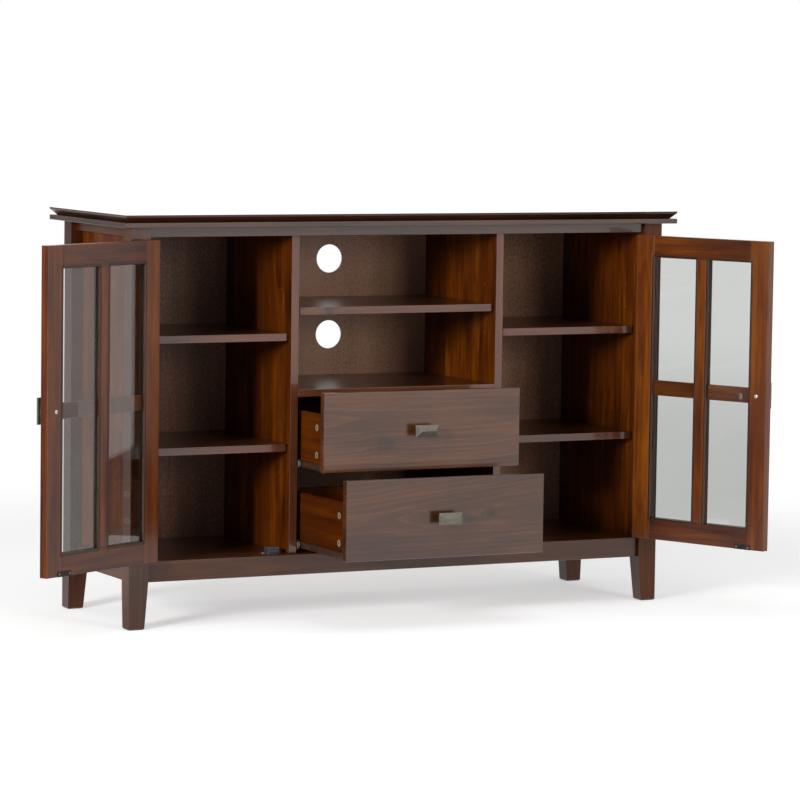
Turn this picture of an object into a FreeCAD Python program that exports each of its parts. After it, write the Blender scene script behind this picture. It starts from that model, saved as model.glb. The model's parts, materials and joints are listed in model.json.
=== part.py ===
import FreeCAD, Part
import os

V = FreeCAD.Vector

# Overall size of the stand
top_width = 1346.0
top_depth = 433.0
stand_height = 886.0
side_overhang = 24.6
front_overhang = 26.5

# Top: a slab with a thin lip over an undercut bevel, on an under board of the same outline
slab_thickness = 16.5
slab_lip = 4.0
under_board_thickness = 11.0
under_board_round = 1.5

# Posts that run down into tapered feet
post_width = 44.3
post_depth = 41.0
leg_height = 100.5
foot_taper_x = 8.5
foot_taper_y = 6.0
foot_chamfer = 3.0

# Rails between the posts
rail_setback = 9.0
rail_thickness = 19.0
top_rail_height = 21.0
bottom_rail_height = 44.5
tenon_length = 15.0
tenon_thickness = 8.0
tenon_shoulder = 4.0
mortise_clearance = 0.5

# Side panels in grooves of the posts, with rails on their outer faces
side_panel_thickness = 17.3
side_rail_thickness = 16.0
tongue_thickness = 6.0
tongue_depth = 6.0

# Floor, dividers and back
floor_thickness = 18.0
centre_bay_width = 484.0
divider_thickness = 18.0
door_back_gap = 2.0
back_thickness = 3.0
back_recess = 3.0
back_groove_depth = 5.0
back_panel_gap = 1.0
cable_hole_radius = 32.0
cable_hole_x = -4.0
cable_hole_drop = 92.5
cable_hole_pitch = 172.5

# Shelves on bracket pegs
shelf_thickness = 16.0
shelf_setback = 8.0
shelf_end_gap = 1.0
shelf_back_gap = 1.0
shelf_corner_radius = 8.0
lower_shelf_rise = 238.5
upper_shelf_rise = 479.5
centre_shelf_rise = 178.0
peg_sides = 6
peg_radius = 2.4
peg_length = 8.0
peg_hole_radius = 2.5
peg_hole_depth = 9.0
peg_hole_pitch = 53.0
peg_rise = 4.0
peg_row_inset = 44.0
bracket_width = 10.0
bracket_reach = 9.0
bracket_height = 9.0
bracket_side_thickness = 0.8
bracket_seat_thickness = 1.0

# Drawers
drawer_front_height = 172.5
drawer_front_thickness = 17.0
drawer_front_gap = 3.0
drawer_floor_gap = 9.0
drawer_between_gap = 5.5
drawer_edge_round = 2.0
drawer_deck_lap = 2.3
drawer_back_room = 38.0
drawer_wall_thickness = 12.0
drawer_side_drop = 2.0
drawer_side_top = 123.0
drawer_bottom_thickness = 4.0
drawer_bottom_rise = 10.0
drawer_groove_depth = 5.0
lower_drawer_pullout = 219.6
upper_drawer_pullout = 104.2

# Roller runners in the gap beside each drawer
runner_gap = 12.5
runner_sheet = 1.0
runner_shortfall = 10.0
cabinet_runner_setback = 1.0
cabinet_runner_drop = 1.0
cabinet_runner_height = 20.5
cabinet_lower_flange = 8.5
cabinet_upper_flange = 6.0
drawer_runner_flange = 10.0
running_flange_width = 9.0
running_flange_rise = 16.0
roller_gap = 0.3
cabinet_roller_radius = 7.7
cabinet_roller_inset = 4.0
drawer_roller_radius = 7.0
drawer_roller_inset = 9.0
roller_width = 6.0
roller_side_gap = 1.5
axle_radius = 2.0
axle_fit = 0.1
axle_tip = 1.0

# Pulls: a hipped plate on a flat-sided stem
pull_length = 56.0
pull_height = 25.5
pull_edge = 4.0
pull_hip_rise = 6.3
pull_hip_inset = 11.5
pull_ridge_width = 0.8
pull_stem_width = 24.0
pull_stem_height = 11.0
pull_stem_length = 19.0
door_pull_inset = 27.5

# Doors: rebated frame, mullion, panes, beads and short bars in front of the glass
door_thickness = 19.0
door_floor_gap = 3.8
door_rail_gap = 4.4
door_meeting_gap = 2.2
door_frame_width = 48.5
door_lip = 9.0
rebate_width = 5.5
mullion_width = 34.0
bar_height = 34.0
glass_thickness = 4.0
glass_clearance = 0.5
door_tenon_length = 20.0
door_tenon_thickness = 6.0
door_tenon_shoulder = 8.0
mullion_tenon_length = 12.0
mullion_tenon_shoulder = 4.0
left_door_angle = 152.4
right_door_angle = 112.9

# Butt hinges in the gap between door and post
hinge_gap = 1.9
hinge_forward = 7.5
hinge_height = 50.0
hinge_inset = 105.0
hinge_leaf_reach = 16.0
hinge_leaf_clearance = 0.1
hinge_barrel_radius = 2.6
hinge_pin_radius = 1.3
hinge_pin_fit = 0.05
hinge_running_gap = 0.3

# Magnetic catches on the floor and their strike plates on the doors
strike_length = 43.0
strike_height = 11.2
strike_thickness = 1.5
strike_inset = 33.5
catch_gap = 0.3
catch_width = 25.0
catch_height = 15.0
catch_depth = 22.0
catch_ear_length = 47.0
catch_ear_depth = 14.0
catch_ear_thickness = 2.0

# Levels and planes that several pieces share
carcass_top = stand_height - slab_thickness - under_board_thickness
floor_top = leg_height + bottom_rail_height
floor_under = floor_top - floor_thickness
body_x = top_width / 2 - side_overhang
body_y = top_depth / 2 - front_overhang
bay_x = body_x - post_width
post_y = body_y - post_depth
front_y = -body_y + rail_setback
rail_back_y = front_y + rail_thickness
door_back_y = front_y + door_thickness
divider_y = max(rail_back_y, door_back_y) + door_back_gap
back_y = body_y - back_recess - back_thickness
shelf_y = divider_y + shelf_setback
centre_x = centre_bay_width / 2
divider_x = centre_x + divider_thickness

# Drawer planes, with the drawers shut
drawer_x = centre_x - drawer_front_gap
drawer_back_y = front_y + drawer_front_thickness
drawer_end_y = back_y - drawer_back_room
drawer_side_x = centre_x - runner_gap
drawer_inner_x = drawer_side_x - drawer_wall_thickness
lower_drawer_z = floor_top + drawer_floor_gap
upper_drawer_z = lower_drawer_z + drawer_front_height + drawer_between_gap
deck_top = upper_drawer_z + drawer_front_height - drawer_deck_lap
runner_length = drawer_end_y - drawer_back_y - runner_shortfall

# Door planes, with the doors shut
hinge_edge_x = bay_x - hinge_gap
door_width = hinge_edge_x - drawer_x - door_meeting_gap
door_bottom = floor_top + door_floor_gap
door_top = carcass_top - top_rail_height - door_rail_gap
door_middle = (door_bottom + door_top) / 2
pivot_x = bay_x - hinge_gap / 2
pivot_y = front_y - hinge_forward
hinge_levels = (door_bottom + hinge_inset, door_top - hinge_inset)


def block(x0, x1, y0, y1, z0, z1):
    return Part.makeBox(x1 - x0, y1 - y0, z1 - z0, V(x0, y0, z0))


def rod_x(radius, x0, x1, y, z):
    return Part.makeCylinder(radius, x1 - x0, V(x0, y, z), V(1, 0, 0))


def faceted_rod_x(sides, radius, x0, x1, y, z):
    arm = V(0, 0, radius)
    corners = []
    for i in range(sides):
        turn = FreeCAD.Rotation(V(1, 0, 0), (i + 0.5) * 360 / sides)
        corners.append(V(x0, y, z) + turn.multVec(arm))
    return flat_face(corners).extrude(V(x1 - x0, 0, 0))


def rod_y(radius, y0, y1, x, z):
    return Part.makeCylinder(radius, y1 - y0, V(x, y0, z), V(0, 1, 0))


def rod_z(radius, z0, z1, x, y):
    return Part.makeCylinder(radius, z1 - z0, V(x, y, z0), V(0, 0, 1))


def mirrored(shape):
    return shape.mirror(V(0, 0, 0), V(1, 0, 0))


def on_side(shape, side):
    return shape if side == "right" else mirrored(shape)


def pair(shape):
    return Part.makeCompound([shape, mirrored(shape)])


def joined(first, others):
    return first.fuse(others).removeSplitter()


def edges_where(shape, test):
    return [edge for edge in shape.Edges if all(test(v.Point) for v in edge.Vertexes)]


def near(a, b):
    return abs(a - b) < 1e-6


def flat_face(corners):
    return Part.Face(Part.makePolygon(corners + [corners[0]]))


def tapered(first_ring, second_ring):
    faces = [flat_face(first_ring), flat_face(second_ring)]
    for i in range(len(first_ring)):
        j = (i + 1) % len(first_ring)
        faces.append(flat_face([first_ring[i], first_ring[j], second_ring[j], second_ring[i]]))
    return Part.makeSolid(Part.makeShell(faces))


def profile_along_y(points, y0, y1):
    return flat_face([V(x, y0, z) for x, z in points]).extrude(V(0, y1 - y0, 0))


def upright_ring(half_x, half_z, y):
    return [V(-half_x, y, -half_z), V(half_x, y, -half_z), V(half_x, y, half_z), V(-half_x, y, half_z)]


# Top

def top_slab():
    z0 = stand_height - slab_thickness
    slab = block(-top_width / 2, top_width / 2, -top_depth / 2, top_depth / 2, z0, stand_height)
    lower_edges = edges_where(slab, lambda p: near(p.z, z0))
    return slab.makeChamfer(slab_thickness - slab_lip, lower_edges)


def under_board():
    z1 = carcass_top + under_board_thickness
    board = block(-top_width / 2, top_width / 2, -top_depth / 2, top_depth / 2, carcass_top, z1)
    lower_edges = edges_where(board, lambda p: near(p.z, carcass_top))
    return board.makeFillet(under_board_round, lower_edges)


# Rails with a tenon at each end

def rail(y0, y1, z0, z1):
    return joined(block(-bay_x, bay_x, y0, y1, z0, z1), rail_tenons(y0, y1, z0, z1, 0.0))


def rail_tenons(y0, y1, z0, z1, end_clearance):
    middle = (y0 + y1) / 2
    reach = bay_x + tenon_length + end_clearance
    right = block(bay_x, reach, middle - tenon_thickness / 2, middle + tenon_thickness / 2,
                  z0 + tenon_shoulder, z1 - tenon_shoulder)
    return [right, mirrored(right)]


front_top_rail_span = (front_y, rail_back_y, carcass_top - top_rail_height, carcass_top)
front_bottom_rail_span = (front_y, rail_back_y, leg_height, floor_top)
rear_bottom_rail_span = (-rail_back_y, -front_y, leg_height, floor_under)


# Posts: the two inner faces of each foot taper towards the floor

def post_blank():
    post = block(bay_x, body_x, -body_y, -post_y, 0.0, carcass_top)
    knee_x = V(bay_x, -body_y, leg_height)
    toe_x = V(bay_x + foot_taper_x, -body_y, 0.0)
    heel_x = V(bay_x, -body_y, 0.0)
    knee_y = V(bay_x, -post_y, leg_height)
    toe_y = V(bay_x, -post_y - foot_taper_y, 0.0)
    heel_y = V(bay_x, -post_y, 0.0)
    post = post.cut([flat_face([knee_x, toe_x, heel_x]).extrude(V(0, post_depth, 0)),
                     flat_face([knee_y, toe_y, heel_y]).extrude(V(post_width, 0, 0))])
    return post.makeChamfer(foot_chamfer, edges_where(post, lambda p: near(p.z, 0.0)))


def side_groove():
    depth = tongue_depth + mortise_clearance
    return block(tongue_x(0), tongue_x(1), -post_y - depth, -post_y, leg_height, carcass_top)


def hinge_reliefs():
    radius = hinge_barrel_radius + hinge_running_gap
    half = hinge_height / 2 + hinge_running_gap
    return [rod_z(radius, z - half, z + half, pivot_x, pivot_y) for z in hinge_levels]


def front_post():
    cuts = [side_groove()] + hinge_reliefs()
    for span in (front_top_rail_span, front_bottom_rail_span):
        cuts += rail_tenons(*span, mortise_clearance)
    return post_blank().cut(cuts)


def rear_post():
    blank = post_blank().cut(side_groove()).mirror(V(0, 0, 0), V(0, 1, 0))
    back_groove = block(bay_x, bay_x + back_groove_depth + mortise_clearance,
                        back_y, back_y + back_thickness, floor_under, carcass_top)
    return blank.cut([back_groove] + rail_tenons(*rear_bottom_rail_span, mortise_clearance))


# Sides

def tongue_x(end):
    return bay_x + (side_panel_thickness - tongue_thickness) / 2 + end * tongue_thickness


def side_panel():
    panel = block(bay_x, bay_x + side_panel_thickness, -post_y, post_y, leg_height, carcass_top)
    reach = post_y + tongue_depth
    tongue = block(tongue_x(0), tongue_x(1), -reach, reach, leg_height, carcass_top)
    return joined(panel, [tongue]).cut(side_peg_holes(bay_x, 1))


def side_rails():
    x0 = bay_x + side_panel_thickness
    spans = ((leg_height, floor_top), (carcass_top - top_rail_height, carcass_top))
    x1 = x0 + side_rail_thickness
    return Part.makeCompound([block(x0, x1, -post_y, post_y, z0, z1) for z0, z1 in spans])


# Shelves rest on bracket pegs, which stand in rows of holes at an even pitch

def peg_rows():
    return (shelf_y + peg_row_inset, back_y - shelf_back_gap - peg_row_inset)


def peg_level(shelf_top):
    return shelf_top - shelf_thickness + peg_rise


def peg_holes(face_x, inward, shelf_top, steps):
    far_x = face_x + inward * peg_hole_depth
    holes = []
    for step in steps:
        z = peg_level(shelf_top) + step * peg_hole_pitch
        for y in peg_rows():
            holes.append(faceted_rod_x(peg_sides, peg_hole_radius, face_x, far_x, y, z))
    return holes


def side_peg_holes(face_x, inward):
    upper = peg_holes(face_x, inward, floor_top + upper_shelf_rise, (0, 1, 2))
    return upper + peg_holes(face_x, inward, floor_top + lower_shelf_rise, (-1, 0, 1))


def bracket_peg(face_x, outward, shelf_top, y):
    under = shelf_top - shelf_thickness
    half = bracket_width / 2

    def span(depth):
        return sorted((face_x, face_x + outward * depth))

    plate = block(*span(bracket_side_thickness), y - half, y + half,
                  under - bracket_seat_thickness, under + bracket_height)
    seat = block(*span(bracket_reach), y - half, y + half, under - bracket_seat_thickness, under)
    peg = faceted_rod_x(peg_sides, peg_radius, *span(-peg_length), y, peg_level(shelf_top))
    return joined(plate, [seat, peg])


def shelf_pegs():
    pegs = []
    for y in peg_rows():
        for rise in (lower_shelf_rise, upper_shelf_rise):
            pegs.append(bracket_peg(bay_x, -1, floor_top + rise, y))
            pegs.append(bracket_peg(divider_x, 1, floor_top + rise, y))
        pegs.append(bracket_peg(centre_x, -1, deck_top + centre_shelf_rise, y))
    return Part.makeCompound(pegs + [mirrored(peg) for peg in pegs])


def shelf(x0, x1, shelf_top):
    board = block(x0 + shelf_end_gap, x1 - shelf_end_gap, shelf_y, back_y - shelf_back_gap,
                  shelf_top - shelf_thickness, shelf_top)
    corners = [e for e in edges_where(board, lambda p: near(p.y, shelf_y)) if near(e.Length, shelf_thickness)]
    return board.makeFillet(shelf_corner_radius, corners)


def side_shelves():
    return Part.makeCompound([shelf(divider_x, bay_x, floor_top + rise)
                              for rise in (lower_shelf_rise, upper_shelf_rise)])


# Floor, dividers, deck and back

def cabinet_floor():
    return block(-bay_x, bay_x, rail_back_y, back_y, floor_under, floor_top)


def divider():
    panel = block(centre_x, divider_x, divider_y, back_y, floor_top, carcass_top)
    centre_holes = peg_holes(centre_x, 1, deck_top + centre_shelf_rise, (-1, 0, 1))
    return panel.cut(side_peg_holes(divider_x, -1) + centre_holes)


def drawer_deck():
    return block(-centre_x, centre_x, divider_y, back_y, deck_top - shelf_thickness, deck_top)


def back_split_x():
    return centre_x + divider_thickness / 2


def back_board(x0, x1):
    return block(x0, x1, back_y, back_y + back_thickness, floor_under, carcass_top)


def outer_back_panel():
    return back_board(back_split_x() + back_panel_gap / 2, bay_x + back_groove_depth)


def centre_back_panel():
    half = back_split_x() - back_panel_gap / 2
    upper_z = carcass_top - cable_hole_drop
    holes = [rod_y(cable_hole_radius, back_y, back_y + back_thickness, cable_hole_x, z)
             for z in (upper_z, upper_z - cable_hole_pitch)]
    return back_board(-half, half).cut(holes)


# Pull in its own frame: foot of the stem at the origin, ridge along X, pointing to -Y

def pull():
    stem = block(-pull_stem_width / 2, pull_stem_width / 2, -pull_stem_length, 0.0,
                 -pull_stem_height / 2, pull_stem_height / 2)
    back = -pull_stem_length
    edge = back - pull_edge
    tip = edge - pull_hip_rise
    half_x = pull_length / 2
    half_z = pull_height / 2
    plate = block(-half_x, half_x, edge, back, -half_z, half_z)
    crest = upright_ring(half_x - pull_hip_inset, pull_ridge_width / 2, tip)
    hip = tapered(upright_ring(half_x, half_z, edge), crest)
    return Part.makeCompound([stem, joined(plate, [hip])])


# Drawers, built shut and then pulled out

def drawer_front(z0):
    z1 = z0 + drawer_front_height
    board = block(-drawer_x, drawer_x, front_y, drawer_back_y, z0, z1)
    face_edges = edges_where(board, lambda p: near(p.y, front_y))
    board = board.makeFillet(drawer_edge_round, face_edges)
    return board.cut(drawer_bottom(z0))


def drawer_bottom(z0):
    x = drawer_inner_x + drawer_groove_depth
    z = z0 + drawer_bottom_rise
    return block(-x, x, drawer_back_y - drawer_groove_depth,
                 drawer_end_y - drawer_wall_thickness + drawer_groove_depth, z, z + drawer_bottom_thickness)


def drawer_walls(z0):
    low = z0 + drawer_side_drop
    high = z0 + drawer_side_top
    side = block(drawer_inner_x, drawer_side_x, drawer_back_y, drawer_end_y, low, high)
    side = side.cut(drawer_bottom(z0))
    back = block(-drawer_inner_x, drawer_inner_x, drawer_end_y - drawer_wall_thickness, drawer_end_y,
                 low, high)
    return Part.makeCompound([side, mirrored(side), back.cut(drawer_bottom(z0))])


def drawer_pull(z0):
    return pull().translated(V(0, front_y, z0 + drawer_front_height / 2))


# Runners: a channel on the divider carries a roller in front, and a folded strip under
# the drawer side carries a roller behind

def cabinet_roller_centre(z0):
    y = divider_y + cabinet_runner_setback + cabinet_roller_inset
    return y, z0 + running_flange_rise - roller_gap - cabinet_roller_radius


def cabinet_roller_x():
    x1 = centre_x - runner_sheet - roller_side_gap
    return x1 - roller_width, x1


def cabinet_runner(z0):
    low = z0 - cabinet_runner_drop
    high = low + cabinet_runner_height
    web = centre_x - runner_sheet
    lower_x = centre_x - cabinet_lower_flange
    upper_x = centre_x - cabinet_upper_flange
    outline = [(centre_x, low), (lower_x, low), (lower_x, low + runner_sheet), (web, low + runner_sheet),
               (web, high - runner_sheet), (upper_x, high - runner_sheet), (upper_x, high), (centre_x, high)]
    y0 = divider_y + cabinet_runner_setback
    channel = profile_along_y(outline, y0, y0 + runner_length)
    y, z = cabinet_roller_centre(z0)
    inner, _ = cabinet_roller_x()
    return joined(channel, [rod_x(axle_radius, inner - axle_tip, web, y, z)])


def cabinet_rollers(z0):
    y, z = cabinet_roller_centre(z0)
    return pair(roller(cabinet_roller_radius, *cabinet_roller_x(), y, z))


def roller(radius, x0, x1, y, z):
    return rod_x(radius, x0, x1, y, z).cut(rod_x(axle_radius + axle_fit, x0, x1, y, z))


def drawer_roller_centre(z0):
    y = drawer_back_y + runner_length - drawer_roller_inset
    return y, z0 - cabinet_runner_drop + runner_sheet + roller_gap + drawer_roller_radius


def drawer_roller_x():
    x0 = drawer_side_x + runner_sheet + roller_side_gap
    return x0, x0 + roller_width


def drawer_runner(z0):
    low = z0 + drawer_side_drop - runner_sheet
    web = drawer_side_x + runner_sheet
    top = z0 + running_flange_rise
    inner_x = drawer_side_x - drawer_runner_flange
    outer_x = web + running_flange_width
    outline = [(inner_x, low), (web, low), (web, top), (outer_x, top),
               (outer_x, top + runner_sheet), (drawer_side_x, top + runner_sheet),
               (drawer_side_x, low + runner_sheet), (inner_x, low + runner_sheet)]
    strip = profile_along_y(outline, drawer_back_y, drawer_back_y + runner_length)
    y, z = drawer_roller_centre(z0)
    _, outer = drawer_roller_x()
    return joined(strip, [rod_x(axle_radius, web, outer + axle_tip, y, z)])


def drawer_rollers(z0):
    y, z = drawer_roller_centre(z0)
    return pair(roller(drawer_roller_radius, *drawer_roller_x(), y, z))


# Doors are built shut on the right side, measured from the hinge edge and the front face

def door_block(s0, s1, t0, t1, z0, z1):
    return block(hinge_edge_x - s1, hinge_edge_x - s0, front_y + t0, front_y + t1, z0, z1)


def pane_spans():
    half = mullion_width / 2
    centre = door_width / 2
    return ((door_frame_width, centre - half), (centre + half, door_width - door_frame_width))


pane_bottom = door_bottom + door_frame_width
pane_top = door_top - door_frame_width


def door_frame_blank():
    blank = door_block(0.0, door_width, 0.0, door_thickness, door_bottom, door_top)
    cuts = []
    for s0, s1 in pane_spans():
        cuts.append(door_block(s0, s1, 0.0, door_lip, pane_bottom, pane_top))
        cuts.append(door_block(s0 - rebate_width, s1 + rebate_width, door_lip, door_thickness,
                               pane_bottom - rebate_width, pane_top + rebate_width))
    return blank.cut(cuts)


def door_tenon_depth():
    t0 = (door_thickness - door_tenon_thickness) / 2
    return t0, t0 + door_tenon_thickness


def rail_to_stile_tenons(z0, z1, end_clearance):
    low = z0 + door_tenon_shoulder
    high = z1 - door_tenon_shoulder
    reach = door_tenon_length + end_clearance
    free = door_width - door_frame_width
    return [door_block(door_frame_width - reach, door_frame_width, *door_tenon_depth(), low, high),
            door_block(free, free + reach, *door_tenon_depth(), low, high)]


def mullion_tenons(end_clearance):
    half = mullion_width / 2 - rebate_width - mullion_tenon_shoulder
    s0 = door_width / 2 - half
    s1 = door_width / 2 + half
    reach = mullion_tenon_length + end_clearance
    return [door_block(s0, s1, *door_tenon_depth(), pane_bottom - reach, pane_bottom),
            door_block(s0, s1, *door_tenon_depth(), pane_top, pane_top + reach)]


def door_rail_levels():
    lower = (door_bottom, door_bottom + door_frame_width - rebate_width)
    upper = (door_top - door_frame_width + rebate_width, door_top)
    return lower, upper


def door_stile(s0, s1):
    region = door_block(s0, s1, 0.0, door_thickness, door_bottom, door_top)
    mortises = []
    for z0, z1 in door_rail_levels():
        mortises += rail_to_stile_tenons(z0, z1, mortise_clearance)
    return door_frame_blank().common(region).cut(mortises)


def hinge_stile():
    return door_stile(0.0, door_frame_width)


def free_stile():
    return door_stile(door_width - door_frame_width, door_width)


def door_rails():
    rails = []
    for (z0, z1), (low, high) in zip(door_rail_levels(), ((door_bottom, pane_bottom), (pane_top, door_top))):
        region = door_block(door_frame_width, door_width - door_frame_width, 0.0, door_thickness, low, high)
        body = door_frame_blank().common(region).cut(mullion_tenons(mortise_clearance))
        rails.append(joined(body, rail_to_stile_tenons(z0, z1, 0.0)))
    return Part.makeCompound(rails)


def door_grille():
    s0 = door_width / 2 - mullion_width / 2
    region = door_block(s0, s0 + mullion_width, 0.0, door_thickness, pane_bottom, pane_top)
    mullion = joined(door_frame_blank().common(region), mullion_tenons(0.0))
    low = door_middle - bar_height / 2
    bars = [door_block(a, b, 0.0, door_lip, low, low + bar_height) for a, b in pane_spans()]
    return Part.makeCompound([mullion] + bars)


def door_glass():
    grow = rebate_width - glass_clearance
    return Part.makeCompound([door_block(s0 - grow, s1 + grow, door_lip, door_lip + glass_thickness,
                                         pane_bottom - grow, pane_top + grow) for s0, s1 in pane_spans()])


def door_beads():
    beads = []
    t0 = door_lip + glass_thickness
    for s0, s1 in pane_spans():
        for a in (s0 - rebate_width, s1):
            beads.append(door_block(a, a + rebate_width, t0, door_thickness,
                                    pane_bottom - rebate_width, pane_top + rebate_width))
        for z in (pane_bottom - rebate_width, pane_top):
            beads.append(door_block(s0, s1, t0, door_thickness, z, z + rebate_width))
    return Part.makeCompound(beads)


def door_pull():
    upright = pull().rotated(V(0, 0, 0), V(0, 1, 0), 90)
    return upright.translated(V(hinge_edge_x - door_width + door_pull_inset, front_y, door_middle))


def strike_span():
    s1 = door_width - strike_inset
    return s1 - strike_length, s1


def strike_plate():
    return door_block(*strike_span(), door_thickness, door_thickness + strike_thickness,
                      door_bottom, door_bottom + strike_height)


# Hinges: the post leaf carries the end knuckles and the pin, the door leaf the middle knuckle

def knuckle_levels(z):
    half = hinge_height / 2
    middle = hinge_height / 6
    return z - half, z - middle, z + middle, z + half


def leaf_start():
    return pivot_y + hinge_barrel_radius + hinge_running_gap


def post_hinge_leaf(z):
    low, middle_low, middle_high, high = knuckle_levels(z)
    x0 = pivot_x + hinge_leaf_clearance / 2
    plate = block(x0, bay_x, leaf_start(), front_y + hinge_leaf_reach, low, high)
    pieces = [rod_z(hinge_pin_radius, low, high, pivot_x, pivot_y)]
    for a, b in ((low, middle_low - hinge_running_gap), (middle_high + hinge_running_gap, high)):
        pieces.append(rod_z(hinge_barrel_radius, a, b, pivot_x, pivot_y))
        pieces.append(block(x0, bay_x, pivot_y, leaf_start(), a, b))
    return joined(plate, pieces)


def door_hinge_leaf(z):
    low, middle_low, middle_high, high = knuckle_levels(z)
    x1 = pivot_x - hinge_leaf_clearance / 2
    plate = block(hinge_edge_x, x1, leaf_start(), front_y + hinge_leaf_reach, low, high)
    neck = block(hinge_edge_x, x1, pivot_y, leaf_start(), middle_low, middle_high)
    knuckle = rod_z(hinge_barrel_radius, middle_low, middle_high, pivot_x, pivot_y)
    bore = rod_z(hinge_pin_radius + hinge_pin_fit, middle_low, middle_high, pivot_x, pivot_y)
    return joined(plate, [neck, knuckle]).cut(bore)


def post_hinge_leaves():
    leaves = [post_hinge_leaf(z) for z in hinge_levels]
    return Part.makeCompound(leaves + [mirrored(leaf) for leaf in leaves])


def door_hinge_leaves():
    return Part.makeCompound([door_hinge_leaf(z) for z in hinge_levels])


# Catch: a magnet housing on an eared foot, its face just behind the strike plate

def door_catch():
    s0, s1 = strike_span()
    middle = hinge_edge_x - (s0 + s1) / 2
    y0 = door_back_y + strike_thickness + catch_gap
    housing = block(middle - catch_width / 2, middle + catch_width / 2, y0, y0 + catch_depth,
                    floor_top, floor_top + catch_height)
    y1 = y0 + catch_depth
    ears = block(middle - catch_ear_length / 2, middle + catch_ear_length / 2, y1 - catch_ear_depth, y1,
                 floor_top, floor_top + catch_ear_thickness)
    return joined(housing, [ears])


def hung_door(shape, side):
    sign = 1 if side == "right" else -1
    angle = right_door_angle if side == "right" else left_door_angle
    return on_side(shape, side).rotated(V(sign * pivot_x, pivot_y, 0), V(0, 0, 1), sign * angle)


nodes = {
    "top_slab": top_slab(),
    "under_board": under_board(),
    "front_top_rail": rail(*front_top_rail_span),
    "front_bottom_rail": rail(*front_bottom_rail_span),
    "rear_bottom_rail": rail(*rear_bottom_rail_span),
    "cabinet_floor": cabinet_floor(),
    "drawer_deck": drawer_deck(),
    "centre_back_panel": centre_back_panel(),
    "outer_back_panels": pair(outer_back_panel()),
    "centre_shelf": shelf(-centre_x, centre_x, deck_top + centre_shelf_rise),
    "shelf_pegs": shelf_pegs(),
    "door_catches": pair(door_catch()),
    "post_hinge_leaves": post_hinge_leaves(),
    "cabinet_runners": Part.makeCompound([pair(cabinet_runner(z)) for z in (lower_drawer_z, upper_drawer_z)]),
}

side_pieces = {
    "front_post": front_post(),
    "rear_post": rear_post(),
    "side_panel": side_panel(),
    "side_rails": side_rails(),
    "divider": divider(),
    "side_shelves": side_shelves(),
}

door_pieces = {
    "hinge_stile": hinge_stile(),
    "free_stile": free_stile(),
    "rails": door_rails(),
    "grille": door_grille(),
    "glass": door_glass(),
    "beads": door_beads(),
    "pull": door_pull(),
    "strike_plate": strike_plate(),
    "hinge_leaves": door_hinge_leaves(),
}

for side in ("left", "right"):
    for name, shape in side_pieces.items():
        nodes[side + "_" + name] = on_side(shape, side)
    for name, shape in door_pieces.items():
        nodes[side + "_door_" + name] = hung_door(shape, side)

drawers = (("lower", lower_drawer_z, lower_drawer_pullout), ("upper", upper_drawer_z, upper_drawer_pullout))
drawer_pieces = {
    "front": drawer_front,
    "walls": drawer_walls,
    "bottom": drawer_bottom,
    "pull": drawer_pull,
    "runners": lambda z0: pair(drawer_runner(z0)),
    "rollers": drawer_rollers,
}

for level, z0, pullout in drawers:
    nodes[level + "_cabinet_rollers"] = cabinet_rollers(z0)
    for name, make in drawer_pieces.items():
        nodes[level + "_drawer_" + name] = make(z0).translated(V(0, -pullout, 0))

os.makedirs("parts", exist_ok=True)
for name, shape in nodes.items():
    shape.exportStep("parts/" + name + ".step")
print(len(nodes), "nodes")
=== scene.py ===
import bpy
import bmesh
import json
import math
from mathutils import Matrix, Vector

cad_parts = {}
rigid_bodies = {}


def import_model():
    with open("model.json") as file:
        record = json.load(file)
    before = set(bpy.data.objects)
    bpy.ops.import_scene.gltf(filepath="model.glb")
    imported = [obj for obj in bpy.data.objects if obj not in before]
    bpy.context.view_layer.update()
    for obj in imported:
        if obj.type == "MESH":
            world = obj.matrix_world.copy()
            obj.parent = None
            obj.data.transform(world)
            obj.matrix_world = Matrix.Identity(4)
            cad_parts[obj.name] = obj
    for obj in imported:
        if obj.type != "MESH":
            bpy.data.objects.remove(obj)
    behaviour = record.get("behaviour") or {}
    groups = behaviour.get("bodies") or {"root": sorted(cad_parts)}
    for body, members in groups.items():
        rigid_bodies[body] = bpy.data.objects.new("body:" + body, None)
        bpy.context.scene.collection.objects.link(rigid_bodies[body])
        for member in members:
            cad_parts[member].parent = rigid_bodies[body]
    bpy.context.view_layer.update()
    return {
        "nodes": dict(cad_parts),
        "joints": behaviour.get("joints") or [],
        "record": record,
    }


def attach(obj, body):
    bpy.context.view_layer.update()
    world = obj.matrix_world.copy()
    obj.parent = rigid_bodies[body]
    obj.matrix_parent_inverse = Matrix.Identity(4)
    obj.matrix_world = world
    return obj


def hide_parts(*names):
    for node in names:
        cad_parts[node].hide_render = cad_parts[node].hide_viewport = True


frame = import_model()
nodes = frame["nodes"]
bodyOfNode = {n: b for b, members in frame["record"]["behaviour"]["bodies"].items() for n in members}
slotOfNode = {s["node"]: s["material_slot"] for s in frame["record"]["subparts"]}
scene = bpy.context.scene
scene.view_settings.view_transform = "Standard"
print("frame loaded:", len(nodes), "nodes")


# camera, from the straight edges in the photograph
cameraView = {
    "place": (-3.84978695, -7.77473584, 1.24258826),
    "turn": (1.48084407, -0.01392659, -0.46752453),
    "lens": 175.2507,
    "sensor": 36.0,
    "sight": 100.0,
}


def setCamera(view):
    data = bpy.data.cameras.new("standCamera")
    data.lens = view["lens"]
    data.sensor_width = view["sensor"]
    data.clip_end = view["sight"]
    camera = bpy.data.objects.new("standCamera", data)
    camera.location = view["place"]
    camera.rotation_euler = view["turn"]
    scene.collection.objects.link(camera)
    scene.camera = camera


setCamera(cameraView)
print("camera set")


# small helpers for node trees
noiseSpan = (0.3, 0.7)  # most of a noise's values lie between these


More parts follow.
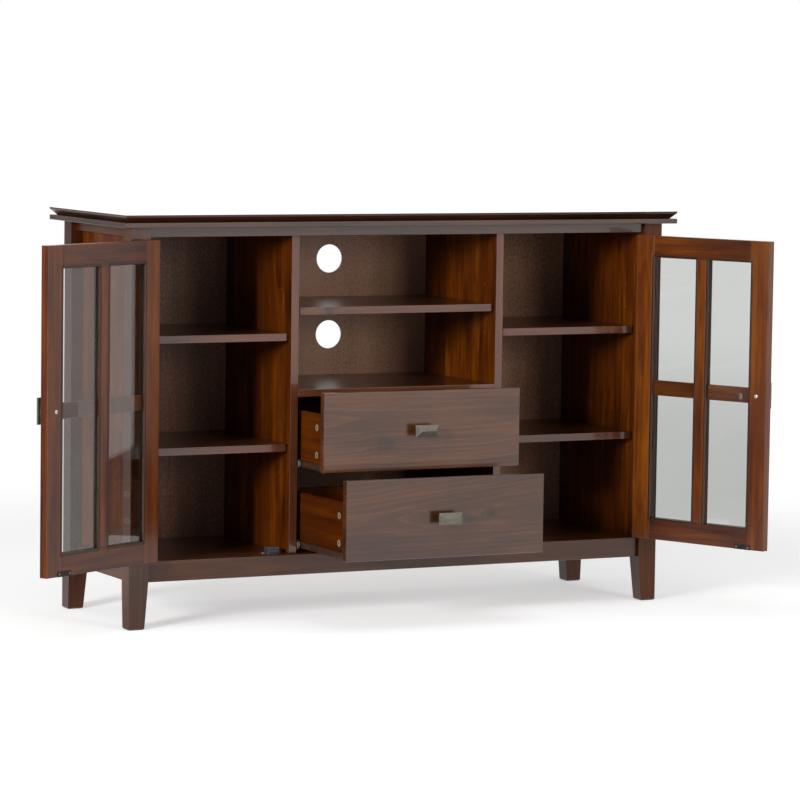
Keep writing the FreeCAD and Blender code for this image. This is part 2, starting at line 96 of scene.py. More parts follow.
def put(tree, kind, inputs=None, **settings):
    made = tree.nodes.new(kind)
    for key, value in settings.items():
        setattr(made, key, value)
    for key, value in (inputs or {}).items():
        if isinstance(value, bpy.types.NodeSocket):
            tree.links.new(value, made.inputs[key])
        else:
            made.inputs[key].default_value = value
    return made


def calc(tree, operation, a, b=0.0, c=0.0):
    return put(tree, "ShaderNodeMath", {0: a, 1: b, 2: c}, operation=operation).outputs[0]


def shifted(tree, base, value, amount):
    return calc(tree, "MULTIPLY_ADD", calc(tree, "SUBTRACT", value, 0.5), amount, base)


def distance(tree, a, b):
    squares = calc(tree, "ADD", calc(tree, "MULTIPLY", a, a), calc(tree, "MULTIPLY", b, b))
    return calc(tree, "SQRT", squares)


def combined(tree, x=0.0, y=0.0, z=0.0):
    return put(tree, "ShaderNodeCombineXYZ", {0: x, 1: y, 2: z}).outputs[0]


def separated(tree, vector):
    return put(tree, "ShaderNodeSeparateXYZ", {0: vector}).outputs


def blendColour(tree, amount, a, b):
    return put(tree, "ShaderNodeMix", {0: amount, 6: a, 7: b}, data_type="RGBA").outputs[2]


def remap(tree, value, low, high, newLow=0.0, newHigh=1.0, smooth=False):
    made = put(tree, "ShaderNodeMapRange", {"Value": value, "From Min": low, "From Max": high,
                                            "To Min": newLow, "To Max": newHigh})
    if smooth:
        made.interpolation_type = "SMOOTHSTEP"
    return made.outputs["Result"]


def stretched(tree, vector, scale):
    return put(tree, "ShaderNodeVectorMath", {0: vector, 1: scale}, operation="MULTIPLY").outputs[0]


def noise(tree, vector, scale=1.0, detail=2.0, roughness=0.5):
    return put(tree, "ShaderNodeTexNoise", {"Vector": vector, "Scale": scale, "Detail": detail,
                                            "Roughness": roughness}).outputs["Fac"]


def attribute(tree, name, socket="Fac"):
    return put(tree, "ShaderNodeAttribute", attribute_name=name).outputs[socket]


def rgba(colour):
    return (*colour, 1.0)


def newMaterial(name):
    material = bpy.data.materials.new(name)
    material.use_nodes = True
    tree = material.node_tree
    return material, tree, tree.nodes["Principled BSDF"]


# floor, backdrop and light
stageLook = {
    "floorSize": 30.0,
    "floorColour": (0.74, 0.74, 0.74),
    "cloud": (0.8, 1.01),       # cells per metre of the floor's faint clouds, and times lighter they are
    "floorGlow": 0.48,
    "white": (1.2, 2.6),        # the floor turns plain white between these distances from the stand, m
    "paneGlow": 0.47,
    "paneWhite": (2.5, 9.0),    # the same through the door glass
    "seenWorld": 1.0,
    "lightWorld": 0.28,
}
mirrorLook = {                  # brightness of the studio as the lacquer mirrors it
    "left": 0.25,
    "floor": 0.95,
    "floorRise": (-1.2, 0.2),   # the floor gets brighter to the right between these places, m
    "rearLeft": 0.95,           # the floor is bright to the rear left too
    "rearFades": (5.0, 9.0),    # and gets dim again between these distances, m
    "rearSlope": (0.45, 0.75),  # this starts between these metres back for each metre to the left
    "rearStart": 0.3,           # and back is counted from so far in front of the middle, m
    "leastLeft": 0.05,
    "front": 1.16,              # times as bright far in front
    "frontRise": (-7.5, -9.5),  # between these places, m
    "back": 1.22,               # the world is so many times as bright behind
    "backRise": (0.55, 0.85),   # between these shares of a direction that point back
    "rightRise": (-0.45, 0.1),  # and gets brighter between these that point right
}
softboxes = {
    "keySoftbox": {"place": (-5.2, -3.0, 1.85), "aim": (0.0, 0.0, 0.45), "size": 1.2, "power": 330.0},
    "topSoftbox": {"place": (0.3, -0.8, 4.2), "aim": (0.0, 0.0, 0.4), "size": 3.0, "power": 35.0},
    "fillSoftbox": {"place": (1.8, -6.2, 1.5), "aim": (0.0, 0.0, 0.4), "size": 1.8, "power": 148.0,
                    "gloss": False},    # leaves no bright patch in the lacquer
}


def floorImage(tree, place, away, mirror):
    right, back = separated(tree, place)[:2]
    left = calc(tree, "MAXIMUM", calc(tree, "MULTIPLY", right, -1.0), mirror["leastLeft"])
    slope = calc(tree, "DIVIDE", calc(tree, "ADD", back, mirror["rearStart"]), left)
    rear = remap(tree, away, *mirror["rearFades"], mirror["rearLeft"], mirror["left"])
    across = remap(tree, right, *mirror["floorRise"], mirror["left"], mirror["floor"])
    bright = calc(tree, "MAXIMUM", across, remap(tree, slope, *mirror["rearSlope"], mirror["left"], rear))
    bright = calc(tree, "MULTIPLY", bright, remap(tree, back, *mirror["frontRise"], 1.0, mirror["front"]))
    return put(tree, "ShaderNodeEmission", {"Strength": bright})


def layFloor(look, mirror):
    half = look["floorSize"] / 2
    mesh = bpy.data.meshes.new("floor")
    mesh.from_pydata([(-half, -half, 0), (half, -half, 0), (half, half, 0), (-half, half, 0)], [],
                     [(0, 1, 2, 3)])
    floor = bpy.data.objects.new("floor", mesh)
    scene.collection.objects.link(floor)
    material, tree, _ = newMaterial("paleFloor")
    tree.nodes.clear()
    place = put(tree, "ShaderNodeTexCoord").outputs["Object"]
    away = put(tree, "ShaderNodeVectorMath", {0: place}, operation="LENGTH").outputs["Value"]
    path = put(tree, "ShaderNodeLightPath").outputs
    direct, through = path["Is Camera Ray"], path["Is Transmission Ray"]
    mirrored = calc(tree, "MULTIPLY", path["Is Glossy Ray"], calc(tree, "SUBTRACT", 1.0, through))

    cells, lighter = look["cloud"]
    tint = blendColour(tree, remap(tree, noise(tree, place, cells, detail=3.0), *noiseSpan),
                       rgba(look["floorColour"]), rgba([c * lighter for c in look["floorColour"]]))
    lit = put(tree, "ShaderNodeBsdfDiffuse", {"Color": tint})
    strength = calc(tree, "MAXIMUM", calc(tree, "MULTIPLY", direct, look["floorGlow"]),
                    calc(tree, "MULTIPLY", through, look["paneGlow"]))
    glow = put(tree, "ShaderNodeEmission", {"Strength": strength})
    near = put(tree, "ShaderNodeAddShader", {0: lit.outputs[0], 1: glow.outputs[0]})
    farSeen = calc(tree, "MULTIPLY", direct, remap(tree, away, *look["white"], smooth=True))
    farThrough = calc(tree, "MULTIPLY", through, remap(tree, away, *look["paneWhite"], smooth=True))
    white = put(tree, "ShaderNodeEmission", {"Strength": look["seenWorld"]})
    both = put(tree, "ShaderNodeMixShader", {0: calc(tree, "MAXIMUM", farSeen, farThrough),
                                             1: near.outputs[0], 2: white.outputs[0]})
    image = floorImage(tree, place, away, mirror)
    shown = put(tree, "ShaderNodeMixShader", {0: mirrored, 1: both.outputs[0], 2: image.outputs[0]})
    put(tree, "ShaderNodeOutputMaterial", {"Surface": shown.outputs[0]})
    mesh.materials.append(material)


def setWorld(look, mirror):
    world = bpy.data.worlds.new("paleStudio")
    scene.world = world
    world.use_nodes = True
    tree = world.node_tree
    path = put(tree, "ShaderNodeLightPath").outputs
    seen = calc(tree, "MAXIMUM", path["Is Camera Ray"], path["Is Transmission Ray"])
    right, back = separated(tree, put(tree, "ShaderNodeTexCoord").outputs["Generated"])[:2]
    image = calc(tree, "MULTIPLY", remap(tree, right, *mirror["rightRise"], mirror["left"], 1.0),
                 remap(tree, back, *mirror["backRise"], 1.0, mirror["back"]))
    other = remap(tree, path["Is Glossy Ray"], 0.0, 1.0, look["lightWorld"], image)
    strength = remap(tree, seen, 0.0, 1.0, other, look["seenWorld"])
    background = tree.nodes["Background"]
    tree.links.new(strength, background.inputs["Strength"])
    background.inputs["Color"].default_value = (1, 1, 1, 1)


def setLamp(name, lamp):
    data = bpy.data.lights.new(name, "AREA")
    data.size = lamp["size"]
    data.energy = lamp["power"]
    light = bpy.data.objects.new(name, data)
    light.location = lamp["place"]
    light.visible_glossy = lamp.get("gloss", True)
    view = Vector(lamp["aim"]) - Vector(lamp["place"])
    light.rotation_euler = view.to_track_quat("-Z", "Y").to_euler()
    scene.collection.objects.link(light)


layFloor(stageLook, mirrorLook)
setWorld(stageLook, mirrorLook)
for name, lamp in softboxes.items():
    setLamp(name, lamp)
print("stage and light set")


# the move that takes a body from where it is shut to where it is at rest
def restPlace(body):
    for joint in frame["joints"]:
        if joint["child"] != body:
            continue
        axis = Vector(joint["axis"])
        if joint["type"] == "slide":
            return Matrix.Translation(-axis * joint["range_m"][0])
        if body.endswith("door"):
            pin = Vector(joint["pos_m"])
            turn = Matrix.Rotation(-math.radians(joint["range_deg"][0]), 4, axis)
            return Matrix.Translation(pin) @ turn @ Matrix.Translation(-pin)
        return restPlace(joint["parent"])  # rollers move with what carries them
    return Matrix.Identity(4)


def shutBox(node):
    shut = restPlace(bodyOfNode[node]).inverted()
    points = [shut @ v.co for v in nodes[node].data.vertices]
    low, high = (Vector([most(p[a] for p in points) for a in range(3)]) for most in (min, max))
    return low, high, (low + high) / 2


# stained pine under lacquer: growth rings, fibres, glued staves, knots
plainPine = {
    "stave": 0.0,          # width of the glued staves, m
    "ring": 0.0080,        # growth ring width, m
    "ringSharp": 2.4,
    "smudge": 0.0,         # how much smudges and pressed specks move the tone
    "mottle": 0.0,
    "level": 0.0,          # how much darker a board is that lies level
    "band": 0.95,
    "gloss": 0.5,
    "coat": 0.0,
    "coatRough": 0.10,
}
woodFinishes = {  # stains, how strong late wood (figure) and streaks (band) are, and the lacquer
    "russet_top": {"dark": (0.014, 0.005, 0.003), "mid": (0.042, 0.013, 0.005),
                   "light": (0.078, 0.027, 0.010), "stave": 0.072, "figure": 0.30,
                   "rough": 0.16, "coat": 0.95, "coatRough": 0.03},
    "topEdge": {"dark": (0.011, 0.003, 0.0015), "mid": (0.033, 0.009, 0.003),
                "light": (0.061, 0.019, 0.006), "figure": 0.24,
                "rough": 0.30, "gloss": 0.46, "coat": 0.25},
    "russet_wood": {"dark": (0.020, 0.006, 0.002), "mid": (0.060, 0.017, 0.004),
                    "light": (0.110, 0.036, 0.010), "figure": 0.26, "rough": 0.30, "coat": 0.25},
    "postWood": {"dark": (0.020, 0.005, 0.001), "mid": (0.062, 0.015, 0.003),
                 "light": (0.118, 0.033, 0.006), "figure": 0.24,
                 "rough": 0.34, "gloss": 0.30, "coatRough": 0.12},
    "postFront": {"dark": (0.016, 0.005, 0.002), "mid": (0.048, 0.014, 0.005),
                  "light": (0.090, 0.029, 0.010), "figure": 0.24,
                  "rough": 0.26, "coat": 0.60, "coatRough": 0.08},
    "inner_wood": {"dark": (0.024, 0.004, 0.0005), "mid": (0.090, 0.0185, 0.0008),
                   "light": (0.205, 0.058, 0.0015), "stave": 0.082, "figure": 0.34,
                   "smudge": 0.75, "rough": 0.40, "gloss": 0.12},
    "lipWood": {"dark": (0.030, 0.008, 0.003), "mid": (0.084, 0.023, 0.008),
                "light": (0.128, 0.041, 0.014), "figure": 0.20, "band": 0.80,
                "rough": 0.26, "coat": 0.95, "coatRough": 0.06},
    # shelves, deck and cabinet floor: lacquered, and stained darker than the inner wood as painted shade on
    # tops that little light reaches
    "shelfWood": {"dark": (0.018, 0.005, 0.001), "mid": (0.052, 0.015, 0.004),
                  "light": (0.092, 0.030, 0.008), "stave": 0.090, "figure": 0.22, "band": 0.80,
                  "rough": 0.34, "gloss": 0.42, "coat": 0.48, "coatRough": 0.18},
    "door_wood": {"dark": (0.034, 0.006, 0.001), "mid": (0.104, 0.022, 0.001),
                  "light": (0.232, 0.065, 0.002), "figure": 0.18, "band": 1.10, "smudge": 0.40,
                  "level": 0.15, "rough": 0.30, "gloss": 0.42, "coat": 0.22},
    # the beads round the glass are stained darker as painted shade along the glass's edges
    "beadWood": {"dark": (0.010, 0.003, 0.001), "mid": (0.032, 0.009, 0.002),
                 "light": (0.074, 0.022, 0.003), "figure": 0.20, "band": 0.90, "level": 0.10,
                 "rough": 0.32, "gloss": 0.42, "coat": 0.20},
    # the rebate walls round the glass are nearly black: painted shade in the recess
    "rebateWood": {"dark": (0.005, 0.004, 0.003), "mid": (0.012, 0.009, 0.006),
                   "light": (0.024, 0.017, 0.011), "figure": 0.20, "band": 0.90,
                   "rough": 0.45, "gloss": 0.25},
    "drawer_face_wood": {"dark": (0.022, 0.007, 0.003), "mid": (0.050, 0.016, 0.006),
                         "light": (0.122, 0.043, 0.013), "figure": -0.32, "band": 0.70,
                         "ring": 0.0090, "ringSharp": 4.0,
                         "rough": 0.26, "coat": 0.80, "coatRough": 0.06},
    "drawer_box_wood": {"dark": (0.020, 0.003, 0.0005), "mid": (0.060, 0.0112, 0.0004),
                        "light": (0.126, 0.030, 0.0008), "figure": 0.22,
                        "rough": 0.40, "gloss": 0.14, "coatRough": 0.16},
    "back_board": {"dark": (0.060, 0.026, 0.012), "mid": (0.140, 0.063, 0.034),
                   "light": (0.265, 0.136, 0.082), "figure": 0.04, "band": 0.35, "mottle": 2.00,
                   "rough": 0.40},
}
woodFinishes = {name: {**plainPine, **look} for name, look in woodFinishes.items()}
pineNoise = {  # cells along, across and through a board, times the scale, detail and roughness
    "sway": ((2.6, 9.0, 9.0), 1.0, 3.0, 0.5),
    "drift": ((1.5, 1.2, 1.2), 1.0, 1.0, 0.5),
    "stray": ((1.6, 42.0, 42.0), 1.0, 2.0, 0.5),
    "fibre": ((11.0, 780.0, 780.0), 1.0, 2.0, 0.6),
    "streak": ((2.2, 58.0, 58.0), 1.0, 3.0, 0.6),
    "blotch": ((3.2, 12.0, 12.0), 1.0, 2.0, 0.5),
    "smudge": ((10.0, 46.0, 46.0), 1.0, 3.0, 0.6),
    "speck": ((0.55, 1.0, 1.0), 250.0, 3.0, 0.7),
}
pineSizes = {
    "staveShift": 0.37,          # staves by which boards differ
    "runShift": 9.0,             # how far apart along the tree staves may come from, m
    "pithDepth": 0.034,          # pith below the face, and how far it strays down and across, m
    "pithDown": 0.03,
    "pithAcross": 0.07,
    "sway": 0.020,               # how far the rings sway, drift along a board and stray one by one, m
    "cathedral": 0.060,
    "uneven": 0.012,
    "ringEnds": (0.92, 1.0),     # part of a ring in which the late wood ends
    "knotCell": 5.5,             # cells per metre that may hold a knot
    "knotShape": (1.0, 1.35, 0.4),  # times as many along, across and through a board
    "knotShare": 0.80,           # cells above this random value do
    "knotReach": (0.02, 0.24),   # where a knot's surroundings and its heart fade out, in cells
    "knotHeart": (0.03, 0.075),
    "knotRings": 0.014,          # how far a knot pushes the rings aside, m
    "ownStretch": 0.65,          # a board's own knot is so much narrower than long
    "ownReach": (0.9, 2.6),      # where it and its heart fade out, in its radius
    "ownShade": 0.45,
    "ownHeart": (0.55, 1.1),
}
pineTones = {                    # how much each moves the tone, from 0 for dark to 1 for light
    "middle": 0.53,
    "blotch": 0.95,
    "fibre": 0.38,
    "board": 0.22,
    "knot": 0.22,
    "heart": 0.45,
    "stops": (0.08, 0.5, 0.92),  # where the dark, middle and light stain lie
}
pineWear = {
    "streaks": (0.35, 0.75),     # broken edges are rubbed paler in streaks
    "rubbed": (0.05, 0.55),
    "paler": (1.9, 0.012),       # the middle stain times the first, plus the second
    "fibreRough": 0.16,
    "edgeRough": 0.06,
    "bump": (0.10, 0.0004, -0.5),  # strength, depth in metres and the share of the late wood
}
rawPine = (0.190, 0.098, 0.040)  # bare wood inside the drilled holes


def pineKnots(tree, place, along, width, sizes):
    cells = put(tree, "ShaderNodeTexVoronoi", {"Vector": stretched(tree, place, sizes["knotShape"]),
                                               "Scale": sizes["knotCell"]}).outputs
    picked = put(tree, "ShaderNodeSeparateColor", {0: cells["Color"]}).outputs[0]
    hasKnot = calc(tree, "GREATER_THAN", picked, sizes["knotShare"])
    spot = separated(tree, attribute(tree, "knot", "Vector"))
    ownDepth = attribute(tree, "knotDepth")
    ownAlong = calc(tree, "MULTIPLY", calc(tree, "SUBTRACT", along, spot[0]), sizes["ownStretch"])
    ownAcross = calc(tree, "SUBTRACT", width, spot[1])
    ownAway = calc(tree, "DIVIDE", distance(tree, ownAlong, ownAcross), spot[2])
    made = []
    for reach, ownReach, shade in ((sizes["knotReach"], sizes["ownReach"], sizes["ownShade"]),
                                   (sizes["knotHeart"], sizes["ownHeart"], 1.0)):
        common = calc(tree, "MULTIPLY", hasKnot, remap(tree, cells["Distance"], *reach, 1.0, 0.0, True))
        own = calc(tree, "MULTIPLY", ownDepth, remap(tree, ownAway, *ownReach, shade, 0.0, True))
        made.append(calc(tree, "MAXIMUM", common, own))
    return made


def stainedPine(name, look, sizes, tones, wear):
    material, tree, shader = newMaterial(name)
    plank = attribute(tree, "plank")
    edge = attribute(tree, "edge")
    along, width, depth = separated(tree, attribute(tree, "grain", "Vector"))

    # each stave comes from another place in the tree
    if look["stave"]:
        across = calc(tree, "ADD", calc(tree, "DIVIDE", width, look["stave"]),
                      calc(tree, "MULTIPLY", plank, sizes["staveShift"]))
        stave = calc(tree, "FLOOR", across)
        local = calc(tree, "MULTIPLY", calc(tree, "SUBTRACT", calc(tree, "FRACT", across), 0.5),
                     look["stave"])
    else:
        stave, local = plank, width
    drawn = put(tree, "ShaderNodeTexWhiteNoise", {"Vector": combined(tree, stave, plank)}).outputs["Color"]
    chance = put(tree, "ShaderNodeSeparateColor", {0: drawn}).outputs
    run = calc(tree, "ADD", along, calc(tree, "MULTIPLY", chance[0], sizes["runShift"]))
    place = combined(tree, run, local, depth)
    layer = {key: noise(tree, stretched(tree, place, often), scale, detail, roughness)
             for key, (often, scale, detail, roughness) in pineNoise.items()}
    knotNear, knotCore = pineKnots(tree, place, along, width, sizes)

    # rings round a pith below the board
    pith = calc(tree, "MULTIPLY", calc(tree, "SUBTRACT", chance[1], 0.5), sizes["pithAcross"])
    offset = calc(tree, "SUBTRACT", shifted(tree, local, layer["sway"], sizes["sway"]), pith)
    below = calc(tree, "ADD", depth,
                 calc(tree, "MULTIPLY_ADD", chance[2], sizes["pithDown"], sizes["pithDepth"]))
    radius = distance(tree, offset, below)
    radius = shifted(tree, radius, layer["drift"], sizes["cathedral"])
    radius = shifted(tree, radius, layer["stray"], sizes["uneven"])
    radius = calc(tree, "MULTIPLY_ADD", knotNear, sizes["knotRings"], radius)
    phase = calc(tree, "FRACT", calc(tree, "DIVIDE", radius, look["ring"]))
    late = calc(tree, "MULTIPLY", calc(tree, "POWER", phase, look["ringSharp"]),
                remap(tree, phase, *sizes["ringEnds"], 1.0, 0.0))

    tone = shifted(tree, tones["middle"], layer["streak"], look["band"])
    tone = shifted(tree, tone, layer["blotch"], tones["blotch"])
    tone = shifted(tree, tone, layer["fibre"], tones["fibre"])
    tone = shifted(tree, tone, layer["smudge"], look["smudge"])
    tone = shifted(tree, tone, chance[0], tones["board"])
    tone = calc(tree, "MULTIPLY_ADD", late, -look["figure"], tone)
    # boards made darker or lighter; on the back panels and grille bars this is painted light and shade
    tone = calc(tree, "SUBTRACT", tone, attribute(tree, "shade"))
    tone = shifted(tree, tone, layer["speck"], look["mottle"])
    tone = calc(tree, "MULTIPLY_ADD", knotNear, -tones["knot"], tone)
    tone = calc(tree, "MULTIPLY_ADD", knotCore, -tones["heart"], tone)
    ramp = put(tree, "ShaderNodeValToRGB", {"Fac": tone})
    stops = ramp.color_ramp.elements
    stops[0].position, middle, stops[1].position = tones["stops"]
    stops[0].color = rgba(look["dark"])
    stops[1].color = rgba(look["light"])
    stops.new(middle).color = rgba(look["mid"])

    rubbed = calc(tree, "MULTIPLY", edge, remap(tree, layer["streak"], *wear["streaks"], *wear["rubbed"]))
    times, plus = wear["paler"]
    worn = rgba([min(1.0, c * times + plus) for c in look["mid"]])
    stained = blendColour(tree, rubbed, ramp.outputs["Color"], worn)
    tree.links.new(blendColour(tree, attribute(tree, "bore"), stained, rgba(rawPine)),
                   shader.inputs["Base Color"])
    rough = shifted(tree, look["rough"], layer["fibre"], wear["fibreRough"])
    tree.links.new(calc(tree, "MULTIPLY_ADD", edge, wear["edgeRough"], rough), shader.inputs["Roughness"])
    shader.inputs["Coat Weight"].default_value = look["coat"]
    shader.inputs["Coat Roughness"].default_value = look["coatRough"]
    shader.inputs["Specular IOR Level"].default_value = look["gloss"]
    strength, deep, lateShare = wear["bump"]
    height = calc(tree, "MULTIPLY_ADD", late, lateShare, layer["fibre"])
    bump = put(tree, "ShaderNodeBump", {"Strength": strength, "Distance": deep, "Height": height})
    tree.links.new(bump.outputs[0], shader.inputs["Normal"])
    return material


finishes = {name: stainedPine(name, look, pineSizes, pineTones, pineWear)
            for name, look in woodFinishes.items()}
print("wood finishes:", len(finishes))


# metal, enamel, nylon and glass
plainFinishes = {
    "pewter": {"dark": (0.116, 0.106, 0.086), "light": (0.210, 0.194, 0.160), "metal": 0.60,
               "rough": 0.38, "cloud": 130.0, "brush": (260.0, 9000.0, 9000.0), "bump": 0.10},
    "hinge_brass": {"dark": (0.060, 0.040, 0.018), "light": (0.330, 0.230, 0.100), "metal": 1.0,
                    "rough": 0.38, "cloud": 160.0, "brush": (4000.0, 4000.0, 250.0), "bump": 0.08},
    "strike_steel": {"dark": (0.020, 0.019, 0.018), "light": (0.060, 0.056, 0.052), "metal": 0.85,
                     "rough": 0.42, "cloud": 140.0, "brush": (300.0, 300.0, 5000.0), "bump": 0.08},
    "catch_zinc": {"dark": (0.034, 0.035, 0.040), "light": (0.090, 0.090, 0.098), "metal": 0.30,
                   "rough": 0.42, "cloud": 120.0, "brush": (900.0, 900.0, 900.0), "bump": 0.06},
    "peg_steel": {"dark": (0.330, 0.315, 0.290), "light": (0.640, 0.620, 0.580), "metal": 1.0,
                  "rough": 0.28, "cloud": 200.0, "brush": (400.0, 5000.0, 5000.0), "bump": 0.06},
    "runner_enamel": {"dark": (0.028, 0.012, 0.007), "light": (0.085, 0.036, 0.020), "metal": 0.10,
                      "rough": 0.40, "cloud": 60.0, "brush": (900.0, 120.0, 900.0), "bump": 0.05},
    # the rollers' aged nylon is darkened further as painted shade, as they sit in the shadow of the
    # dividers
    "white_nylon": {"dark": (0.095, 0.076, 0.052), "light": (0.170, 0.140, 0.100), "metal": 0.0,
                    "rough": 0.48, "cloud": 110.0, "brush": (1500.0, 1500.0, 1500.0), "bump": 0.05},
    "camZinc": {"dark": (0.260, 0.210, 0.150), "light": (0.410, 0.350, 0.270), "metal": 0.35,
                "rough": 0.36, "cloud": 240.0, "brush": (4000.0, 4000.0, 400.0), "bump": 0.08},
    "screwBrass": {"dark": (0.170, 0.110, 0.040), "light": (0.520, 0.370, 0.150), "metal": 1.0,
                   "rough": 0.32, "cloud": 300.0, "brush": (3000.0, 3000.0, 3000.0), "bump": 0.05},
    # light steel, made lighter and less metallic as a painted highlight on the domed heads
    "screwSteel": {"dark": (0.480, 0.470, 0.450), "light": (0.820, 0.810, 0.790), "metal": 0.55,
                   "rough": 0.26, "cloud": 300.0, "brush": (3000.0, 3000.0, 3000.0), "bump": 0.05},
    # dark slot bars on the screw heads: painted shade for the recess of a real slot
    "slotShade": {"dark": (0.006, 0.005, 0.004), "light": (0.020, 0.017, 0.014), "metal": 0.0,
                  "rough": 0.70, "cloud": 300.0, "brush": (2000.0, 2000.0, 2000.0), "bump": 0.03},
}
metalTones = {
    "brush": 0.6,            # how much the brushing and the broken edges move the tone
    "edge": 0.35,
    "span": (0.25, 0.85),    # tones from dark to light
    "cloudRough": 0.22,
    "bumpDepth": 0.0002,
}


def plainFinish(name, look, tones):
    material, tree, shader = newMaterial(name)
    place = put(tree, "ShaderNodeTexCoord").outputs["Object"]
    cloud = noise(tree, place, look["cloud"], detail=3.0, roughness=0.6)
    brush = noise(tree, stretched(tree, place, look["brush"]), roughness=0.6)
    tone = shifted(tree, cloud, brush, tones["brush"])
    tone = calc(tree, "MULTIPLY_ADD", attribute(tree, "edge"), tones["edge"], tone)
    colour = blendColour(tree, remap(tree, tone, *tones["span"]), rgba(look["dark"]), rgba(look["light"]))
    tree.links.new(colour, shader.inputs["Base Color"])
    tree.links.new(shifted(tree, look["rough"], cloud, tones["cloudRough"]), shader.inputs["Roughness"])
    shader.inputs["Metallic"].default_value = look["metal"]
    bump = put(tree, "ShaderNodeBump", {"Strength": look["bump"], "Distance": tones["bumpDepth"],
                                        "Height": brush})
    tree.links.new(bump.outputs[0], shader.inputs["Normal"])
    return material


paneLook = {
    "colour": (0.690, 0.705, 0.690),
    "ior": 1.58,
    "smear": 7.0,            # cells per metre, tint and roughness of faint smears
    "smearTint": 0.985,
    "smearRough": 0.02,
}


def clearPane(name, look):
    material, tree, shader = newMaterial(name)
    place = put(tree, "ShaderNodeTexCoord").outputs["Object"]
    smear = noise(tree, place, look["smear"], detail=3.0)
    smeared = rgba([c * look["smearTint"] for c in look["colour"]])
    tree.links.new(blendColour(tree, remap(tree, smear, *noiseSpan), smeared, rgba(look["colour"])),
                   shader.inputs["Base Color"])
    tree.links.new(remap(tree, smear, *noiseSpan, 0.0, look["smearRough"]), shader.inputs["Roughness"])
    shader.inputs["Transmission Weight"].default_value = 1.0
    shader.inputs["IOR"].default_value = look["ior"]
    clear = put(tree, "ShaderNodeBsdfTransparent", {"Color": rgba([c * c for c in look["colour"]])})
    lampRay = put(tree, "ShaderNodeLightPath").outputs["Is Shadow Ray"]
    both = put(tree, "ShaderNodeMixShader", {0: lampRay, 1: shader.outputs[0], 2: clear.outputs[0]})
    tree.links.new(both.outputs[0], tree.nodes["Material Output"].inputs["Surface"])
    return material


finishes.update({name: plainFinish(name, look, metalTones) for name, look in plainFinishes.items()})
finishes["clear_glass"] = clearPane("clear_glass", paneLook)
print("all finishes:", len(finishes))


# each node's solids as a piece with broken edges and grain along its boards
edgeBreaks = {  # width of the broken edge, m, and the shortest edge that gets it
    "russet_top": (0.0011, 0.002), "russet_wood": (0.0014, 0.008), "inner_wood": (0.0010, 0.008),
    "door_wood": (0.0012, 0.005), "drawer_face_wood": (0.0007, 0.008), "drawer_box_wood": (0.0009, 0.005),
    "back_board": (0.0003, 0.005), "pewter": (0.0005, 0.003), "hinge_brass": (0.00012, 0.0015),
    "strike_steel": (0.0003, 0.001), "catch_zinc": (0.0006, 0.001), "peg_steel": (0.00015, 0.0006),
    "runner_enamel": (0.00018, 0.0008), "white_nylon": (0.0006, 0.0),
}
edgeTurns = {
    "flat": math.radians(0.6),    # faces that turn less are joined
    "sharp": math.radians(35),    # edges that turn more are broken, or else stay crisp
    "rounded": math.radians(50),  # edges of a broken edge that turn more stay crisp
}


def storeFloats(mesh, name, values, domain="POINT"):
    mesh.attributes.new(name, "FLOAT", domain).data.foreach_set("value", values)


def storeVectors(mesh, name, values):
    mesh.attributes.new(name, "FLOAT_VECTOR", "POINT").data.foreach_set("vector", values)


def linked(pairs, count):
    root = list(range(count))

    def find(i):
        while root[i] != i:
            root[i] = root[root[i]]
            i = root[i]
        return i

    for a, b in pairs:
        root[find(a)] = find(b)
    names = {}
    return [names.setdefault(find(i), len(names)) for i in range(count)]


def solidsApart(mesh):
    # each solid's loose triangles are joined by themselves, so that boards which touch stay separate
    spots = {}
    corner = [spots.setdefault(tuple(round(c, 6) for c in v.co), len(spots)) for v in mesh.vertices]
    rings = [[corner[i] for i in p.vertices] for p in mesh.polygons]
    rings = [ring for ring in rings if len(set(ring)) == 3]
    meets = {}
    for f, ring in enumerate(rings):
        for a, b in zip(ring, ring[1:] + ring[:1]):
            meets.setdefault((min(a, b), max(a, b)), []).append(f)
    solid = linked([pair for pair in meets.values() if len(pair) == 2], len(rings))
    joined = {}
    faces = [[joined.setdefault((solid[f], i), len(joined)) for i in ring] for f, ring in enumerate(rings)]
    places = list(spots)
    whole = bpy.data.meshes.new("whole")
    whole.from_pydata([places[i] for _, i in joined], [], faces)
    return whole


def pickEdges(mesh, shortest):
    bm = bmesh.new()
    bm.from_mesh(mesh)
    bmesh.ops.dissolve_limit(bm, angle_limit=edgeTurns["flat"], use_dissolve_boundaries=False,
                             verts=bm.verts, edges=bm.edges)
    weight = bm.edges.layers.float.new("bevel_weight_edge")
    for e in bm.edges:
        if (e.is_manifold and e.is_convex and e.calc_face_angle(0) > edgeTurns["sharp"]
                and e.calc_length() >= shortest):
            e[weight] = 1.0
    for f in bm.faces:
        f.smooth = True
    bm.to_mesh(mesh)
    bm.free()


def flatFaces(mesh):
    # edges that weren't broken stay crisp, so that no face is shaded round its corners
    bm = bmesh.new()
    bm.from_mesh(mesh)
    for e in bm.edges:
        most = "rounded" if any(f.material_index == 1 for f in e.link_faces) else "sharp"
        e.smooth = e.calc_face_angle(0) < edgeTurns[most]
    bm.to_mesh(mesh)
    bm.free()


def baked(item):
    graph = bpy.context.evaluated_depsgraph_get()
    return bpy.data.meshes.new_from_object(item.evaluated_get(graph), preserve_all_data_layers=True,
                                           depsgraph=graph)


def brokenEdges(mesh, width, shortest):
    # the broken edges come back with material 1
    pickEdges(mesh, shortest)
    rough = bpy.data.objects.new("rough", mesh)
    scene.collection.objects.link(rough)
    bevel = rough.modifiers.new("edgeBreak", "BEVEL")
    bevel.width = width
    bevel.segments = 2
    bevel.limit_method = "WEIGHT"
    bevel.material = 1
    bevel.use_clamp_overlap = True
    rough.data = baked(rough)
    flatFaces(rough.data)
    rough.modifiers.clear()
    rough.modifiers.new("evenNormals", "WEIGHTED_NORMAL").keep_sharp = True
    done = baked(rough)
    bpy.data.objects.remove(rough)
    return done
